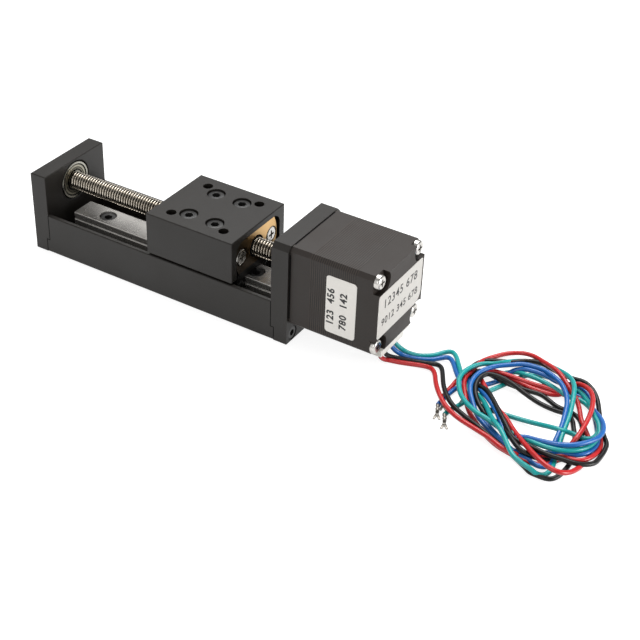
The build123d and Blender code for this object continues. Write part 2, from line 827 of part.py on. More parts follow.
def wire_tube(name, points):
    radii = corner_radii(points)
    path = FilletPolyline(*points, radius=radii)
    start = Plane(origin=path @ 0, z_dir=path % 0)
    tube = sweep(start * Circle(wire_radius), path=path)
    expected = math.pi * wire_radius**2 * path.length
    radii_text = " ".join(f"{radius:.1f}" for radius in radii)
    print(f"{name}: radii {radii_text}; length {path.length:.1f}; volume share {tube.volume / expected:.4f}")
    save(name, tube)


def wire_terminal(end, tip):
    # Crimped sheet terminal: a barrel round the wire's end, a flat neck and two spread arms
    barrel = block((-terminal_grip, 0), (-terminal_width / 2, terminal_width / 2), (0, terminal_height))
    barrel -= block(
        (-terminal_grip, 0),
        (-terminal_width / 2 + terminal_sheet, terminal_width / 2 - terminal_sheet),
        (terminal_sheet, terminal_height),
    )
    neck = block((-terminal_sheet, terminal_neck), (-terminal_width / 3, terminal_width / 3), (0, terminal_sheet))
    terminal = barrel + neck
    for side in (-1, 1):
        arm = block((0, terminal_arm), (-0.3, 0.3), (0, terminal_sheet))
        place = Pos(terminal_neck - 0.3, side * terminal_width / 6, 0)
        terminal += place * Rot(0, 0, side * terminal_spread) * arm
    heading = math.degrees(math.atan2(tip[1] - end[1], tip[0] - end[0]))
    return Pos(end[0], end[1], 0) * Rot(0, 0, heading) * terminal


def wire_coil():
    # Outer shape of the loose oval coil: a flat ring with rounded edges
    outer_points = [
        (88.4, -3.5), (86.9, 5.0), (90.0, 13.0), (97.5, 19.8), (107.0, 22.0), (117.8, 18.6),
        (127.2, 12.2), (134.0, 2.0), (138.3, -8.0), (137.2, -18.5), (131.5, -27.2), (123.5, -29.2),
        (113.5, -25.0), (104.1, -20.1), (96.0, -14.4),
    ]
    inner_points = [
        (98.6, -4.4), (102.4, 0.4), (109.0, 1.4), (116.8, 1.0), (122.2, -1.4), (125.0, -7.5),
        (124.6, -14.2), (119.6, -16.6), (113.4, -15.0), (107.4, -11.7), (102.0, -8.0),
    ]
    outer = make_face(Spline(*outer_points, periodic=True))
    inner = make_face(Spline(*inner_points, periodic=True))
    ring = extrude(outer, amount=coil_height, dir=(0, 0, 1))
    ring -= extrude(inner, amount=coil_height, dir=(0, 0, 1))
    rims = ring.edges().group_by(Axis.Z)[-1]
    return fillet(rims, radius=coil_round)


def write_stage():
    save("base_channel", base_channel())
    save("bearing_plate", bearing_plate())
    save("motor_plate", motor_plate())
    save("base_screws", base_screws())
    save("guide_rail", guide_rail())
    save("rail_screws", rail_screws())


def write_carriage():
    caps, seals, screws = guide_end_pieces()
    save("guide_block", guide_block())
    save("guide_end_caps", caps)
    save("guide_end_seals", seals)
    save("guide_cap_screws", screws)
    save("guide_balls", guide_balls())
    save("carriage_table", carriage_table())
    save("table_screws", table_screws())
    save("screw_nut", screw_nut())
    save("nut_screws", nut_screws())


def write_bearings():
    places = (
        ("end_bearing", end_bearing_size, base_start - end_bearing_size[2]),
        ("motor_front_bearing", front_bearing_size, front_bearing_start()),
        ("motor_rear_bearing", rear_bearing_size, rear_bearing_start()),
    )
    for name, size, x in places:
        outer_ring, inner_ring, balls, shields = ball_bearing(size, x)
        save(f"{name}_outer_ring", outer_ring)
        save(f"{name}_inner_ring", inner_ring)
        save(f"{name}_balls", balls)
        save(f"{name}_shields", shields)


def write_motor():
    save("motor_front_bell", motor_front_bell())
    save("motor_stator_core", stator_core())
    save("motor_windings", stator_windings())
    save("motor_rear_bell", motor_rear_bell())
    save("motor_through_screws", motor_through_screws())
    save("motor_mount_screws", motor_mount_screws())
    save("bearing_wave_washer", bearing_washer())
    save("wire_connector", wire_connector())
    save("lead_screw", lead_screw())
    save("rotor_front_section", rotor_section(rotor_start(), 0.0))
    half_tooth = math.pi / rotor_teeth
    rear = rotor_start() + rotor_section_length + rotor_magnet_length
    save("rotor_rear_section", rotor_section(rear, half_tooth))
    save("rotor_magnet", rotor_magnet())


def write_wires():
    for colour, points in lead_routes().items():
        wire_tube(f"lead_{colour}", points)
    tails = tail_routes()
    for colour, points in tails.items():
        wire_tube(f"tail_{colour}", points)
    tips = terminal_tips()
    save("wire_terminals", group([wire_terminal(tails[name][-1], tips[name]) for name in tails]))
    save("wire_coil", wire_coil())


write_stage()
write_carriage()
write_bearings()
write_motor()
write_wires()
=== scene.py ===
import bpy
import json
import math
from mathutils import Matrix, Vector


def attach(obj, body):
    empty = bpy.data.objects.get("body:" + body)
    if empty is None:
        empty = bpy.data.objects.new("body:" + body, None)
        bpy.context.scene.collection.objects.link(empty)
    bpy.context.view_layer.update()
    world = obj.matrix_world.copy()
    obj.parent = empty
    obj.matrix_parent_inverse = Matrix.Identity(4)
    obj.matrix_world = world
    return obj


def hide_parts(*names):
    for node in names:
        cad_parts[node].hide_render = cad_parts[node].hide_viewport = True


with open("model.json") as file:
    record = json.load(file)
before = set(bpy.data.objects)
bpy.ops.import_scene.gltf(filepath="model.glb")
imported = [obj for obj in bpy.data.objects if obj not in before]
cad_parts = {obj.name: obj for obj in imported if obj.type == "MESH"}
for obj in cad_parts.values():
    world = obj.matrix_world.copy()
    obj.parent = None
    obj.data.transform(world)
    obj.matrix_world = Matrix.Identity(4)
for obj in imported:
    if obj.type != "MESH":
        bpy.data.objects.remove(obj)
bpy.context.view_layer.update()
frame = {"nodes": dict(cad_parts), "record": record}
nodes = frame["nodes"]
record = frame["record"]


# The camera, solved from edges measured in the photo
cameraView = {"azimuth": 30.259, "elevation": 35.214, "roll": 2.339, "lens": 79.49,
              "place": (0.222065, -0.31569, 0.259839), "near": 0.01, "far": 20}


def makeCamera(view):
    turn, lift, roll = (math.radians(view[k]) for k in ("azimuth", "elevation", "roll"))
    back = Vector((math.sin(turn) * math.cos(lift), -math.cos(turn) * math.cos(lift), math.sin(lift)))
    side = Vector((0, 0, 1)).cross(back).normalized()
    upward = back.cross(side)
    right = side * math.cos(roll) + upward * math.sin(roll)
    top = upward * math.cos(roll) - side * math.sin(roll)
    bpy.ops.object.camera_add(location=view["place"])
    camera = bpy.context.object
    camera.name = "photoCamera"
    camera.rotation_euler = Matrix((right, top, back)).transposed().to_euler()
    camera.data.lens = view["lens"]
    camera.data.clip_start = view["near"]
    camera.data.clip_end = view["far"]
    bpy.context.scene.camera = camera


makeCamera(cameraView)
print("camera in place")


# The four motor wires. Each is one run: out of the connector, over the floor, round the loose coil,
# to its terminal. Its points are in tenths of a millimetre
wires = {
    "radius": 0.00075, "steps": 6, "roundness": 3,
    "red": {"length": 0.435, "points": [
        (639.5, -80, 60), (639, -79, 43), (640, -70, 24), (645, -59, 12), (658, -50, 9), (686, -42, 8),
        (716, -31, 8), (742, -21, 8), (768, -14, 9), (790, -16, 11), (812, -40, 15), (833, -78, 20),
        (857, -113, 25), (879, -138, 26), (904, -163, 26), (933, -183, 26), (967, -200, 26), (1000, -208, 25),
        (1040, -217, 24), (1087, -229, 24), (1127, -247, 24), (1161, -252, 22), (1190, -237, 12),
        (1219, -219, 9), (1247, -194, 9), (1282, -178, 15), (1312, -181, 20), (1338, -174, 20),
        (1357, -148, 18), (1365, -107, 13), (1362, -68, 9), (1349, -40, 9), (1332, -4, 9), (1308, 40, 9),
        (1277, 80, 9), (1241, 101, 9), (1210, 100, 9), (1179, 89, 12), (1151, 86, 17), (1119, 82, 20),
        (1091, 74, 22), (1059, 69, 24), (1021, 68, 25), (987, 67, 24), (954, 66, 22), (931, 44, 21),
        (933, 19, 20), (949, 2, 19), (975, -24, 19), (1011, -59, 20), (1052, -99, 23), (1081, -120, 28),
        (1106, -143, 29), (1130, -166, 30), (1188, -215, 38), (1222, -242, 44), (1256, -265, 48),
        (1288, -277, 46), (1316, -274, 40), (1336, -251, 30), (1346, -215, 20), (1349, -177, 12),
        (1351, -129, 9), (1339, -86, 9), (1312, -45, 9), (1288, -17, 12), (1268, 6, 14), (1250, 40, 16),
        (1227, 75, 18), (1202, 98, 22), (1183, 110, 30), (1157, 130, 36), (1130, 151, 38), (1098, 170, 34),
        (1065, 186, 28), (1030, 206, 20), (1003, 211, 16), (977, 207, 12), (945, 185, 10), (921, 151, 9),
        (907, 127, 9), (897, 95, 12), (902, 18, 24), (901, -13, 25), (910, -43, 25), (926, -71, 24),
        (943, -97, 22), (963, -127, 18), (990, -157, 16), (1020, -180, 15), (1045, -200, 14),
        (1073, -216, 12), (1114, -236, 12), (1152, -242, 10), (1192, -247, 9), (1231, -246, 9),
        (1263, -229, 9), (1284, -195, 9), (1292, -151, 14), (1294, -120, 30), (1300, -101, 40),
        (1299, -56, 44), (1294, -2, 46), (1284, 43, 47), (1269, 84, 46), (1248, 114, 44), (1221, 130, 40),
        (1196, 140, 30), (1176, 128, 16), (1173, 92, 9), (1149, 69, 12), (1120, 64, 14), (1090, 60, 15),
        (1047, 63, 17), (1010, 67, 17), (981, 71, 16), (947, 68, 12), (918, 53, 9), (893, 22, 9),
        (877, -18, 8), (879, -58, 8), (878, -88, 8), (880, -116, 9)]},
    "black": {"length": 0.399, "points": [
        (639.5, -60, 60), (642, -59, 43), (650, -52, 26), (660, -37, 14), (662, -29, 9), (689, -22, 8),
        (716, -13, 8), (745, -4, 8), (771, 6, 9), (796, 12, 11), (815, 0, 14), (837, -38, 19), (861, -82, 25),
        (884, -114, 26), (911, -142, 26), (941, -164, 26), (973, -179, 26), (1003, -190, 25),
        (1035, -200, 24), (1070, -213, 20), (1106, -220, 12), (1144, -232, 9), (1182, -253, 9),
        (1219, -272, 9), (1237, -284, 9), (1257, -284, 9), (1281, -284, 9), (1301, -277, 9), (1313, -251, 9),
        (1318, -209, 9), (1315, -159, 9), (1300, -107, 9), (1281, -68, 10), (1264, -38, 12), (1247, -7, 13),
        (1227, 7, 14), (1209, 7, 14), (1192, 6, 12), (1152, 10, 10), (1115, 18, 10), (1074, 25, 18),
        (1032, 36, 26), (995, 37, 32), (970, 32, 35), (951, 23, 36), (943, -1, 35), (944, -28, 33),
        (954, -58, 30), (970, -82, 26), (986, -99, 22), (1002, -113, 18), (1023, -126, 12), (1055, -141, 16),
        (1089, -161, 26), (1124, -190, 33), (1158, -221, 35), (1186, -237, 32), (1212, -235, 25),
        (1239, -225, 16), (1266, -209, 10), (1292, -184, 9), (1304, -135, 9), (1305, -87, 9), (1293, -36, 9),
        (1268, 8, 9), (1238, 26, 9), (1212, 28, 9), (1183, 28, 9), (1151, 43, 9), (1119, 57, 9),
        (1088, 51, 10), (1056, 44, 12), (1017, 40, 15), (979, 44, 16), (943, 56, 14), (920, 58, 12),
        (908, 43, 12), (910, 11, 13), (931, -22, 17), (959, -31, 26), (991, -49, 36), (1023, -81, 39),
        (1055, -115, 41), (1083, -145, 42), (1103, -164, 40), (1121, -181, 36), (1140, -196, 30),
        (1173, -206, 30), (1205, -205, 30), (1231, -211, 32), (1261, -212, 32), (1295, -206, 30),
        (1329, -199, 26), (1356, -182, 20), (1377, -154, 14), (1378, -116, 9), (1378, -79, 9), (1372, -46, 9),
        (1349, -18, 9), (1324, 23, 9), (1299, 72, 9), (1277, 115, 12), (1254, 144, 18), (1226, 163, 22),
        (1202, 169, 24), (1178, 166, 22), (1142, 173, 16), (1093, 183, 16), (1066, 188, 18), (1039, 183, 20),
        (1010, 169, 18), (981, 147, 14), (958, 139, 12), (928, 126, 11), (904, 113, 10), (890, 88, 9),
        (884, 56, 9), (889, 17, 8), (902, -22, 8), (921, -51, 9)]},
    "blue": {"length": 0.403, "points": [
        (639.5, -20, 60), (645, -20, 43), (659, -18, 28), (672, -9, 15), (686, -4, 9), (713, 1, 8),
        (741, 12, 8), (768, 28, 8), (785, 48, 9), (801, 60, 12), (817, 56, 15), (835, 36, 18), (856, 7, 21),
        (876, -19, 24), (895, -38, 25), (915, -60, 16), (945, -89, 10), (983, -118, 9), (1024, -146, 9),
        (1070, -176, 9), (1116, -208, 12), (1158, -231, 15), (1188, -242, 15), (1211, -241, 14),
        (1228, -247, 12), (1249, -249, 11), (1267, -240, 10), (1275, -220, 10), (1264, -187, 12),
        (1248, -144, 19), (1245, -108, 28), (1239, -68, 36), (1228, -23, 42), (1216, 16, 46), (1197, 52, 50),
        (1168, 84, 52), (1135, 104, 52), (1098, 120, 50), (1062, 123, 48), (1026, 119, 45), (993, 95, 42),
        (968, 73, 42), (947, 48, 41), (935, 22, 40), (929, -14, 38), (934, -50, 36), (948, -79, 33),
        (966, -103, 28), (983, -122, 22), (1004, -145, 14), (1032, -162, 10), (1062, -181, 9),
        (1099, -204, 10), (1138, -228, 14), (1173, -236, 18), (1203, -222, 19), (1233, -199, 18),
        (1267, -178, 18), (1300, -164, 20), (1326, -156, 22), (1345, -133, 22), (1352, -98, 18),
        (1350, -63, 13), (1334, -27, 10), (1316, 10, 10), (1290, 53, 10), (1264, 94, 10), (1246, 125, 12),
        (1224, 142, 14), (1206, 144, 15), (1175, 141, 18), (1161, 120, 26), (1139, 106, 36), (1111, 111, 40),
        (1076, 112, 40), (1038, 110, 37), (1007, 102, 24), (993, 78, 14), (970, 64, 9), (935, 59, 9),
        (909, 38, 9), (903, 7, 9), (916, -21, 10), (935, -30, 13), (955, -33, 18), (976, -50, 24),
        (1002, -71, 29), (1028, -95, 32), (1055, -121, 33), (1079, -148, 32), (1105, -180, 28),
        (1121, -194, 27), (1139, -197, 26), (1156, -190, 30), (1173, -181, 36), (1210, -183, 42),
        (1246, -182, 48), (1274, -177, 51), (1308, -159, 52), (1332, -129, 51), (1350, -96, 48),
        (1356, -57, 44), (1345, -15, 40), (1321, 21, 34), (1293, 47, 26), (1258, 90, 16), (1224, 111, 10),
        (1189, 110, 9), (1152, 99, 9), (1113, 85, 9), (1071, 74, 9), (1030, 64, 9), (987, 52, 8),
        (968, 17, 8), (943, -11, 8), (916, -30, 8), (894, -53, 8), (888, -90, 8), (885, -129, 8),
        (886, -161, 9)]},
    "green": {"length": 0.415, "points": [
        (639.5, 0, 60), (645, 1, 43), (659, 5, 28), (672, 13, 15), (692, 16, 9), (719, 21, 8), (746, 37, 8),
        (765, 56, 8), (780, 81, 9), (794, 91, 12), (809, 89, 15), (828, 71, 18), (849, 40, 22), (871, 9, 25),
        (888, -15, 26), (911, -40, 16), (941, -68, 10), (975, -89, 9), (1012, -98, 9), (1068, -91, 9),
        (1100, -88, 9), (1132, -86, 11), (1160, -86, 15), (1182, -88, 20), (1208, -92, 28), (1234, -95, 34),
        (1252, -93, 34), (1271, -81, 26), (1297, -79, 23), (1318, -75, 20), (1335, -54, 18), (1332, -14, 17),
        (1310, 29, 17), (1272, 71, 16), (1231, 93, 14), (1198, 86, 13), (1176, 88, 16), (1154, 89, 22),
        (1118, 91, 29), (1079, 96, 30), (1046, 96, 28), (1020, 101, 22), (994, 97, 14), (974, 76, 9),
        (938, 73, 9), (908, 53, 9), (893, 18, 9), (901, -18, 9), (925, -43, 9), (959, -51, 11),
        (994, -78, 18), (1019, -109, 25), (1046, -146, 34), (1077, -184, 48), (1104, -204, 50),
        (1129, -227, 46), (1162, -264, 42), (1185, -281, 38), (1210, -284, 30), (1238, -284, 23),
        (1258, -284, 12), (1279, -272, 9), (1285, -241, 9), (1272, -177, 12), (1262, -137, 18),
        (1256, -110, 26), (1249, -68, 32), (1242, -25, 38), (1230, 19, 42), (1219, 55, 46), (1206, 93, 48),
        (1186, 128, 44), (1159, 155, 36), (1134, 176, 24), (1095, 196, 14), (1058, 198, 10), (1022, 188, 9),
        (988, 167, 10), (964, 131, 18), (949, 83, 34), (925, 67, 36), (907, 42, 38), (895, 10, 39),
        (891, -26, 39), (897, -55, 38), (913, -84, 37), (934, -113, 37), (961, -137, 38), (987, -155, 41),
        (1015, -169, 43), (1042, -174, 42), (1065, -175, 36), (1094, -179, 28), (1122, -176, 26),
        (1175, -184, 32), (1202, -191, 36), (1235, -194, 39), (1269, -189, 40), (1297, -175, 39),
        (1325, -149, 36), (1341, -114, 30), (1345, -76, 26), (1343, -43, 26), (1334, -19, 29), (1321, 3, 31),
        (1299, 25, 30), (1267, 76, 22), (1241, 102, 19), (1218, 121, 17), (1193, 132, 14), (1154, 146, 10),
        (1113, 149, 9), (1074, 142, 9), (1043, 122, 8), (1024, 84, 8), (1004, 35, 8), (985, -9, 8),
        (965, -55, 8), (946, -97, 8), (934, -139, 8), (925, -165, 8), (923, -189, 9)]},
}
wireColours = ("red", "black", "blue", "green")
for colour in wireColours:
    points = wires[colour]["points"]
    wires[colour]["points"] = [tuple(value / 10000 for value in place) for place in points]


def makeWire(colour, values):
    points = values[colour]["points"]
    line = bpy.data.curves.new("wire_" + colour, "CURVE")
    line.dimensions = "3D"
    line.resolution_u = values["steps"]
    line.bevel_depth = 1  # each point's own radius sets the thickness
    line.bevel_resolution = values["roundness"]
    line.use_fill_caps = True
    run = line.splines.new("NURBS")
    run.points.add(len(points) - 1)
    for knot, place in zip(run.points, points):
        knot.co = (*place, 1)
        knot.radius = values["radius"]
    run.order_u = 3
    run.use_endpoint_u = True
    wire = bpy.data.objects.new("wire_" + colour, line)
    bpy.context.scene.collection.objects.link(wire)
    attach(wire, "root")
    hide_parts("lead_" + colour, "tail_" + colour, "wire_coil")
    return wire


wireObjects = {colour: makeWire(colour, wires) for colour in wireColours}
print("wires laid")


# Helpers for modelling
def deselectAll():
    if bpy.context.object and bpy.context.object.mode != "OBJECT":
        bpy.ops.object.mode_set(mode="OBJECT")
    bpy.ops.object.select_all(action="DESELECT")


def onlySelect(piece):
    deselectAll()
    piece.select_set(True)
    bpy.context.view_layer.objects.active = piece


def settle(piece):
    # The place goes into the mesh, so that the object sits at the origin
    onlySelect(piece)
    bpy.ops.object.convert(target="MESH")
    bpy.ops.object.transform_apply(location=True, rotation=True, scale=True)
    return piece


def joinPieces(name, pieces):
    onlySelect(pieces[0])
    for piece in pieces[1:]:
        piece.select_set(True)
    bpy.ops.object.join()
    joined = bpy.context.object
    joined.name = name
    return joined


def applyModifiers(piece):
    onlySelect(piece)
    for modifier in list(piece.modifiers):
        bpy.ops.object.modifier_apply(modifier=modifier.name)


def faceOutwards(piece, merge):
    onlySelect(piece)
    bpy.ops.object.mode_set(mode="EDIT")
    bpy.ops.mesh.select_all(action="SELECT")
    bpy.ops.mesh.remove_doubles(threshold=merge)
    bpy.ops.mesh.normals_make_consistent(inside=False)
    bpy.ops.object.mode_set(mode="OBJECT")


def liftMesh(piece, height):
    bpy.ops.object.mode_set(mode="EDIT")
    bpy.ops.mesh.select_all(action="SELECT")
    bpy.ops.transform.translate(value=(0, 0, height))
    bpy.ops.object.mode_set(mode="OBJECT")


def smoothPiece(piece, angle):
    onlySelect(piece)
    bpy.ops.object.shade_smooth_by_angle(angle=math.radians(angle))


def addRod(place, radius, length, sides, lean=0):
    deselectAll()
    bpy.ops.mesh.primitive_cylinder_add(vertices=sides, radius=radius, depth=length, location=place,
                                        rotation=(0, lean, 0))
    return bpy.context.object


def addBox(place, size, tilt=0):
    deselectAll()
    bpy.ops.mesh.primitive_cube_add(size=1, location=place, rotation=(tilt, 0, 0), scale=size)
    return bpy.context.object


def addPlane():
    deselectAll()
    bpy.ops.mesh.primitive_plane_add(size=1, location=(0, 0, 0))
    return bpy.context.object


def placeCorners(piece, first, places):
    for corner, place in zip(list(piece.data.vertices)[first:], places):
        corner.co = place


def drawProfile(name, points):
    # A chain of edges in the x-z plane, drawn by extruding one vertex
    deselectAll()
    bpy.ops.mesh.primitive_plane_add(size=0.001, location=(0, 0, 0))
    piece = bpy.context.object
    piece.name = name
    bpy.ops.object.mode_set(mode="EDIT")
    bpy.ops.mesh.select_all(action="SELECT")
    bpy.ops.mesh.merge(type="CENTER")
    bpy.ops.transform.translate(value=points[0])
    last = Vector(points[0])
    for point in points[1:]:
        bpy.ops.mesh.extrude_region_move(TRANSFORM_OT_translate={"value": Vector(point) - last})
        last = Vector(point)
    bpy.ops.object.mode_set(mode="OBJECT")
    return piece


def windProfile(piece, values, height, advance=0, turns=1):
    # The profile turned about the X axis, moving on by the advance at each turn, then raised to the height
    wind = piece.modifiers.new("wind", "SCREW")
    wind.axis = "X"
    wind.angle = 2 * math.pi
    wind.screw_offset = advance
    wind.iterations = turns
    wind.steps = values["steps"]
    wind.render_steps = values["steps"]
    wind.use_merge_vertices = True
    wind.merge_threshold = values["close"]
    applyModifiers(piece)
    faceOutwards(piece, values["merge"])
    liftMesh(piece, height)
    smoothPiece(piece, values["smooth"])
    return piece


# Lathe work: an outline of (x, radius) points turned about the X axis
lathe = {"steps": 48, "close": 0.000002, "merge": 0.000002, "smooth": 30, "onAxis": 0.000001}


def turnPiece(name, outline, height):
    piece = drawProfile(name, [(x, 0, max(r, lathe["onAxis"])) for x, r in outline])
    return windProfile(piece, lathe, height)


# Lead screw with its thread
leadScrew = {"axisHeight": 0.021, "crest": 0.00298, "root": 0.00243, "pitch": 0.001, "start": -0.0596,
             "turns": 94, "fullness": 0.85, "steps": 24, "close": 0.000005, "merge": 0.000004, "smooth": 70,
             "journal": 0.0025, "left": -0.0636, "shoulder": -0.0597, "right": 0.0652, "chamfer": 0.0003,
             "coreRise": 0.00002, "runOut": 0.0004}


def makeThread(values):
    pitch, root, crest = values["pitch"], values["root"], values["crest"]
    across = []
    for share in (tenth / 10 for tenth in range(11)):
        swell = (0.5 - 0.5 * math.cos(2 * math.pi * share)) ** values["fullness"]
        across.append((values["start"] + share * pitch, 0, root + (crest - root) * swell))
    piece = drawProfile("leadScrewThread", across)
    return windProfile(piece, values, values["axisHeight"], pitch, values["turns"])


def makeShaft(values):
    # The plain shaft under the thread, turned down for the end bearing
    core, journal, chamfer = values["root"] + values["coreRise"], values["journal"], values["chamfer"]
    left, right = values["left"], values["right"]
    threadEnd = values["start"] + (values["turns"] + 1) * values["pitch"]
    outline = [(left, 0), (left, journal - chamfer), (left + chamfer, journal), (values["shoulder"], journal),
               (values["start"], core), (threadEnd - values["runOut"], core), (threadEnd, journal),
               (right - chamfer, journal), (right, journal - chamfer), (right, 0)]
    return turnPiece("leadScrewShaft", outline, values["axisHeight"])


screwPieces = [makeThread(leadScrew), makeShaft(leadScrew)]
for piece in screwPieces:
    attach(piece, "screw")
    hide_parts("lead_screw")
print("lead screw threaded")


# End bearing with stepped rings and pressed shields. A shield's section is in points: depth behind its
# face, the edge it is measured from, and how far from that edge
endBearing = {"low": -0.06365, "high": -0.05965, "bore": 0.0025, "innerFace": 0.0034, "innerStep": 0.0039,
              "outerStep": 0.0051, "outerFace": 0.0057, "outer": 0.0065, "step": 0.0004, "edge": 0.00018,
              "shieldIn": 0.0036, "shieldOut": 0.00555, "shieldSet": 0.00012,
              "shieldSection": ((0.00012, "in", 0), (0.00004, "in", 0.0001), (0, "middle", -0.0003),
                                (0, "middle", 0.0003), (0.00008, "out", -0.00012), (0.0002, "out", 0),
                                (0.00026, "out", 0), (0.00026, "in", 0), (0.00012, "in", 0))}


def makeRing(name, values, back, bevel, face, ledge):
    low, high, step, edge = (values[k] for k in ("low", "high", "step", "edge"))
    loop = [(low + edge, back), (high - edge, back), (high, bevel), (high, face), (high - step, face),
            (high - step, ledge), (low + step, ledge), (low + step, face), (low, face), (low, bevel),
            (low + edge, back)]
    return turnPiece(name, loop, leadScrew["axisHeight"])


def makeShield(name, values, face, way):
    edges = {"in": values["shieldIn"], "middle": (values["shieldIn"] + values["shieldOut"]) / 2,
             "out": values["shieldOut"]}
    loop = [(face + way * depth, edges[edge] + shift) for depth, edge, shift in values["shieldSection"]]
    return turnPiece(name, loop, leadScrew["axisHeight"])


def makeEndBearing(values):
    outer, bore, edge = values["outer"], values["bore"], values["edge"]
    rings = [makeRing("endBearingOuterRing", values, outer, outer - edge, values["outerFace"],
                      values["outerStep"]),
             makeRing("endBearingInnerRing", values, bore, bore + edge, values["innerFace"],
                      values["innerStep"])]
    shields = [makeShield("endBearingShieldNear", values, values["high"] - values["shieldSet"], -1),
               makeShield("endBearingShieldFar", values, values["low"] + values["shieldSet"], 1)]
    return rings, shields


bearingRings, bearingShields = makeEndBearing(endBearing)
for piece, node in ((bearingRings[0], "end_bearing_outer_ring"), (bearingRings[1], "end_bearing_inner_ring"),
                    (bearingShields[0], "end_bearing_shields"), (bearingShields[1], "end_bearing_shields")):
    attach(piece, "screw" if node == "end_bearing_inner_ring" else "root")
    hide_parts(node)
print("end bearing turned")


# Socket screws in the table
tableScrews = {"spots": ((-0.00705, -0.0075), (-0.00705, 0.0075), (0.00295, -0.0075), (0.00295, 0.0075)),
               "top": 0.0289, "seat": 0.0252, "tip": 0.0119, "head": 0.00275, "headSides": 48,
               "shank": 0.0015, "shankSides": 32, "key": 0.00145, "keySides": 6, "socket": 0.0019,
               "edge": 0.0003, "edgeSegments": 3, "smooth": 35}


def makeTableScrews(values):
    top, seat, tip = values["top"], values["seat"], values["tip"]
    tall = top - seat
    parts = []
    for x, y in values["spots"]:
        head = addRod((x, y, seat + tall / 2), values["head"], tall, values["headSides"])
        rim = head.modifiers.new("rim", "BEVEL")
        rim.width = values["edge"]
        rim.segments = values["edgeSegments"]
        rim.limit_method = "ANGLE"
        key = addRod((x, y, top), values["key"], values["socket"] * 2, values["keySides"])
        hollow = head.modifiers.new("hollow", "BOOLEAN")
        hollow.operation = "DIFFERENCE"
        hollow.object = key
        applyModifiers(head)
        bpy.data.objects.remove(key)
        parts += [head, addRod((x, y, (seat + tip) / 2), values["shank"], seat - tip, values["shankSides"])]
    screws = settle(joinPieces("tableSocketScrews", parts))
    smoothPiece(screws, values["smooth"])
    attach(screws, "carriage")
    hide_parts("table_screws")
    return screws


socketScrews = makeTableScrews(tableScrews)


# Painted shade: a near-black shallow ring round the screw, for the shade in the mouth of the nut's bore
boreMouth = {"near": 0.01355, "far": 0.01368, "inner": 0.0031, "outer": 0.0038}


def makeNutMouth(values):
    near, far, inner, outer = (values[k] for k in ("near", "far", "inner", "outer"))
    loop = [(near, inner), (far, inner), (far, outer), (near, outer), (near, inner)]
    mouth = turnPiece("nutBoreMouthShade", loop, leadScrew["axisHeight"])
    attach(mouth, "carriage")
    return mouth


nutMouthShade = makeNutMouth(boreMouth)
print("table screws and nut mouth made")


# Painted shade in the joint gaps where plates, base and motor meet. A joint is its x and the side its rebate
# is on
seams = {"proud": 0.00003, "wide": 0.00024, "sink": 0.0003, "joints": ((-0.05965, -1), (0.02885, 1)),
         "rebate": 0.0012, "baseHalf": 0.015, "foot": 0.0002, "ledge": 0.0048, "wallTop": 0.01405,
         "gapStart": 0.03485, "gap": 0.0004, "motorHalf": 0.014, "motorSide": (0.0095, 0.0325),
         "motorTop": 0.035, "topHalf": 0.0115, "corner": 0.0025, "diagonal": 1.42}


def makeSeams(values):
    proud, half, sink, ledge = values["proud"], values["wide"] / 2, values["sink"], values["ledge"]
    boxes = []
    for joint, side in values["joints"]:
        rebate = joint + side * values["rebate"]
        across = (min(joint, rebate) - half, max(joint, rebate) + half)
        for flank in (-1, 1):
            y = flank * values["baseHalf"]
            ys = sorted((y + flank * proud, y - flank * sink))
            boxes += [((joint - half, joint + half), ys, (ledge, values["wallTop"])),
                      (across, ys, (ledge - half, ledge + half)),
                      ((rebate - half, rebate + half), ys, (values["foot"], ledge))]
    # The painted gap shade between the motor and its plate, round the sides that stand clear
    gap = (values["gapStart"], values["gapStart"] + values["gap"])
    motorHalf, motorTop = values["motorHalf"], values["motorTop"]
    for flank in (-1, 1):
        y = flank * motorHalf
        boxes.append((gap, sorted((y + flank * proud, y - flank * sink)), values["motorSide"]))
    boxes.append((gap, (-values["topHalf"], values["topHalf"]), (motorTop - sink, motorTop + proud)))
    pieces = [addBox([sum(span) / 2 for span in box], [span[1] - span[0] for span in box]) for box in boxes]
    # The same gap across the motor's bevelled upper corners
    off = values["corner"] / 2
    for flank in (-1, 1):
        pieces.append(addBox((sum(gap) / 2, flank * (motorHalf - off), motorTop - off),
                             (values["gap"], values["corner"] * values["diagonal"], 2 * proud),
                             -flank * math.pi / 4))
    joined = settle(joinPieces("gapShadeLines", pieces))
    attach(joined, "root")
    return joined


gapShadeLines = makeSeams(seams)
print("joint lines drawn")


# Painted highlights: near-white strips on the rail's ground edges, both sides. A strip is its y, its z and
# its width
railGlintEdges = {"start": -0.05735, "length": 0.085, "short": 0.0001, "thick": 0.00004,
             "strips": ((0.00444, 0.00863, 0.00034), (0.00436, 0.01117, 0.00018))}


def makeRailGlints(values):
    middle, length = values["start"] + values["length"] / 2, values["length"] - values["short"]
    pieces = []
    for flank in (-1, 1):
        for y, z, width in values["strips"]:
            pieces.append(addBox((middle, flank * y, z), (length, width, values["thick"]),
                                 -flank * math.pi / 4))
    joined = settle(joinPieces("railGlintEdges", pieces))
    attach(joined, "root")
    return joined


railGlintStrips = makeRailGlints(railGlintEdges)
print("rail edges drawn")


